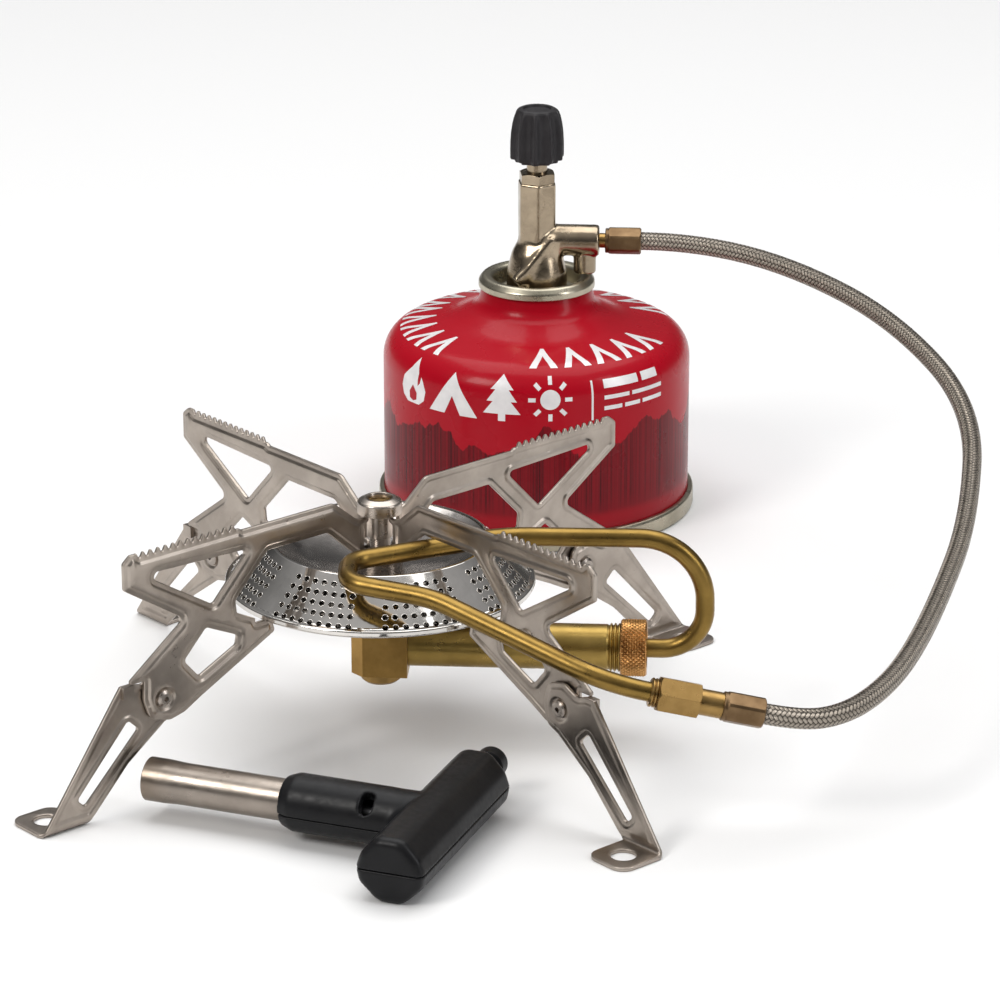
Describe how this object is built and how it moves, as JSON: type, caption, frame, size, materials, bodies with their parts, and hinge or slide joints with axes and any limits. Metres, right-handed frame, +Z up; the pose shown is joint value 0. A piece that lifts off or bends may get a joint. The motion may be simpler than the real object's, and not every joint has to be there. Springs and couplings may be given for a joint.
{
  "type": "canister stove",
  "caption": "Folding camping stove with pot supports, a preheat tube and a braided hose to a valve on a gas canister, with a piezo lighter beside it.",
  "frame": {"origin": "on the ground, under the burner's axis, at the centre of the circle of the four peg holes", "axes": "+Z up, +X from the burner along its mixing tube, +Y from the burner towards the canister"},
  "size_m": [0.242, 0.3331, 0.1197],
  "materials": {
    "stainless_sheet": "satin, pressed",
    "rivet_steel": "satin",
    "burner_chrome": "polished",
    "burner_plate": "polished, darkened",
    "brass_machined": "machined",
    "brass_tube": "drawn, dull olive",
    "brass_dark": "crimped, brown",
    "braided_steel": "woven wire",
    "nickel": "warm nickel plate",
    "knob_plastic": "matte",
    "red_lacquer": "gloss",
    "tinplate": "dull tinplate",
    "seal_rubber": "moulded",
    "lighter_steel": "brushed",
    "lighter_plastic": "satin moulded",
    "ceramic": "glazed ceramic",
    "spring_steel": "drawn wire"
  },
  "bodies": {
    "root": {"support_fr": "stainless_sheet", "leg_rivet_fr": "rivet_steel", "support_br": "stainless_sheet", "leg_rivet_br": "rivet_steel", "burner_block": "brass_machined", "block_plug": "brass_machined", "mixing_tube": "brass_tube", "gas_jet": "brass_machined", "knurled_nut": "brass_machined", "burner_pan": "burner_chrome", "flame_ring": "burner_chrome", "top_plate": "burner_plate", "hub_spacer": "nickel", "hub_post": "nickel", "hub_seat": "nickel", "hub_cap": "nickel", "hub_screw": "nickel", "preheat_tube": "brass_tube", "coupling_nut": "brass_machined", "hose_nipple": "brass_machined", "burner_ferrule": "brass_dark", "hose": "braided_steel", "valve_nipple": "brass_machined", "valve_ferrule": "brass_dark", "valve_body": "nickel", "packing_nut": "nickel", "spindle_seal": "seal_rubber", "inlet_gasket": "seal_rubber", "inlet_probe": "brass_machined", "canister_shell": "red_lacquer", "canister_base": "tinplate", "canister_collar": "tinplate", "canister_valve": "tinplate", "canister_pin": "brass_machined", "canister_spring": "spring_steel"},
    "front_left_support": {"support_fl": "stainless_sheet", "leg_rivet_fl": "rivet_steel"},
    "back_left_support": {"support_bl": "stainless_sheet", "leg_rivet_bl": "rivet_steel"},
    "front_right_leg": {"leg_fr": "stainless_sheet"},
    "back_right_leg": {"leg_br": "stainless_sheet"},
    "back_left_leg": {"leg_bl": "stainless_sheet"},
    "front_left_leg": {"leg_fl": "stainless_sheet"},
    "valve_control": {"valve_spindle": "nickel", "valve_knob": "knob_plastic"},
    "lighter": {"lighter_tube": "lighter_steel", "lighter_cover": "lighter_plastic", "lighter_base": "lighter_plastic", "piezo_unit": "ceramic", "spark_electrode": "spring_steel", "spark_insulator": "ceramic", "lighter_spring": "spring_steel"},
    "lighter_push": {"lighter_button": "lighter_plastic"}
  },
  "joints": [
    {"name": "leg_fold_fr", "type": "hinge", "parent": "root", "child": "front_right_leg", "pos_m": [0.04964, -0.04964, 0.0277], "axis": [0.7071, 0.7071, 0], "range_deg": [0, 150]},
    {"name": "leg_fold_br", "type": "hinge", "parent": "root", "child": "back_right_leg", "pos_m": [0.04964, 0.04964, 0.0277], "axis": [-0.7071, 0.7071, 0], "range_deg": [0, 150]},
    {"name": "leg_fold_bl", "type": "hinge", "parent": "back_left_support", "child": "back_left_leg", "pos_m": [-0.04964, 0.04964, 0.0277], "axis": [-0.7071, -0.7071, 0], "range_deg": [0, 150]},
    {"name": "leg_fold_fl", "type": "hinge", "parent": "front_left_support", "child": "front_left_leg", "pos_m": [-0.04964, -0.04964, 0.0277], "axis": [0.7071, -0.7071, 0], "range_deg": [0, 150]},
    {"name": "support_swing_fl", "type": "hinge", "parent": "root", "child": "front_left_support", "pos_m": [0, 0, 0.054], "axis": [0, 0, -1], "range_deg": [0, 50]},
    {"name": "support_swing_bl", "type": "hinge", "parent": "root", "child": "back_left_support", "pos_m": [0, 0, 0.054], "axis": [0, 0, -1], "range_deg": [0, 50]},
    {"name": "valve_turn", "type": "hinge", "parent": "root", "child": "valve_control", "pos_m": [0.0304, 0.1773, 0.104], "axis": [0, 0, 1], "range_deg": [0, 900]},
    {"name": "lighter_slide", "type": "slide", "parent": "root", "child": "lighter", "axis": [0, -1, 0], "range_m": [0, 0.08]},
    {"name": "lighter_press", "type": "slide", "parent": "lighter", "child": "lighter_push", "axis": [-0.3007, -0.9537, 0], "range_m": [0, 0.004], "stiffness_N_per_m": 500, "springref_m": -0.002, "deforming": ["lighter_spring"]}
  ]
}
